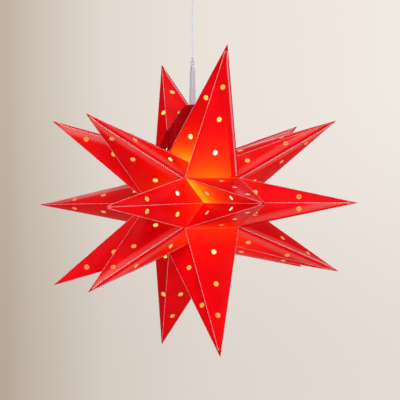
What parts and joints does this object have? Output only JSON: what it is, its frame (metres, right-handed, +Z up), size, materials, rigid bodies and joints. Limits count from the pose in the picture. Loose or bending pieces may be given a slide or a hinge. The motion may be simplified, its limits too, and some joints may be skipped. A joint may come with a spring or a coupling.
{
  "type": "moravian star pendant light",
  "caption": "Hanging folded star of sewn glossy sheet points with punched holes, lit by a lamp inside, on a thin clear line.",
  "frame": {"origin": "middle of the ceiling plate's upper face, where it lies on the ceiling", "axes": "+Z up to the ceiling, +X along the level axis that the star's three rings of points go round, -Y towards the viewer"},
  "size_m": [0.4943, 0.6, 0.6648],
  "materials": {
    "vinyl_sheet": "glossy, welded and sewn sheet",
    "hook_tape": "dark red hook tape",
    "loop_tape": "dark red loop tape",
    "clear_sleeve": "translucent tube",
    "steel_tube": "drawn steel",
    "white_plastic": "moulded",
    "bright_wire": "bright plated wire",
    "white_ceramic": "unglazed, fine",
    "spring_brass": "rolled spring strip",
    "lamp_board": "coated board with light chips",
    "frosted_glass": "frosted",
    "white_paint": "satin paint",
    "hook_steel": "bent wire",
    "clear_line": "clear drawn line"
  },
  "bodies": {
    "ceiling": {"ceiling_plate": "white_paint", "ceiling_hook": "hook_steel"},
    "line": {"suspension_line": "clear_line", "upper_loop": "clear_line", "upper_knot": "clear_line", "lower_loop": "clear_line", "lower_knot": "clear_line"},
    "eye": {"hanger_eye": "bright_wire"},
    "star": {"middle_point_1": "vinyl_sheet", "left_point_1": "vinyl_sheet", "right_point_1": "vinyl_sheet", "middle_point_2": "vinyl_sheet", "left_point_2": "vinyl_sheet", "right_point_2": "vinyl_sheet", "middle_point_3": "vinyl_sheet", "left_point_3": "vinyl_sheet", "right_point_3": "vinyl_sheet", "middle_point_4": "vinyl_sheet", "left_point_4": "vinyl_sheet", "right_point_4": "vinyl_sheet", "middle_point_5": "vinyl_sheet", "left_point_5": "vinyl_sheet", "right_point_5": "vinyl_sheet", "middle_point_6": "vinyl_sheet", "left_point_6": "vinyl_sheet", "right_point_6": "vinyl_sheet", "front_flange": "vinyl_sheet", "back_flange": "vinyl_sheet", "neck_bush": "white_plastic", "hanger_rod": "steel_tube", "stem_sleeve": "clear_sleeve", "foot_plate": "white_plastic", "holder_cap": "steel_tube", "holder_body": "white_ceramic", "contact_clips": "spring_brass"},
    "front_flap": {"front_tab": "vinyl_sheet", "hook_pads": "hook_tape"},
    "back_flap": {"back_tab": "vinyl_sheet", "loop_pads": "loop_tape"},
    "lamp": {"lamp_base": "white_ceramic", "lamp_pins": "bright_wire", "lamp_core": "lamp_board", "lamp_cover": "frosted_glass"}
  },
  "joints": [
    {"name": "swing", "type": "hinge", "parent": "ceiling", "child": "line", "pos_m": [0, 0, -0.02931], "axis": [1, 0, 0], "range_deg": [-20, 20]},
    {"name": "sway", "type": "hinge", "parent": "line", "child": "eye", "pos_m": [0, 0, -0.15945], "axis": [0, 1, 0], "range_deg": [-15, 15]},
    {"name": "turn", "type": "hinge", "parent": "eye", "child": "star", "pos_m": [0, 0, -0.16], "axis": [0, 0, 1], "continuous": true},
    {"name": "front_tab_fold", "type": "hinge", "parent": "star", "child": "front_flap", "pos_m": [0, -0.0023, -0.3139], "axis": [1, 0, 0], "range_deg": [0, 25]},
    {"name": "back_tab_fold", "type": "hinge", "parent": "star", "child": "back_flap", "pos_m": [0, 0.0023, -0.3139], "axis": [-1, 0, 0], "range_deg": [0, 25]},
    {"name": "lamp_pull", "type": "slide", "parent": "star", "child": "lamp", "axis": [0, 0, -1], "range_m": [0, 0.012]}
  ]
}
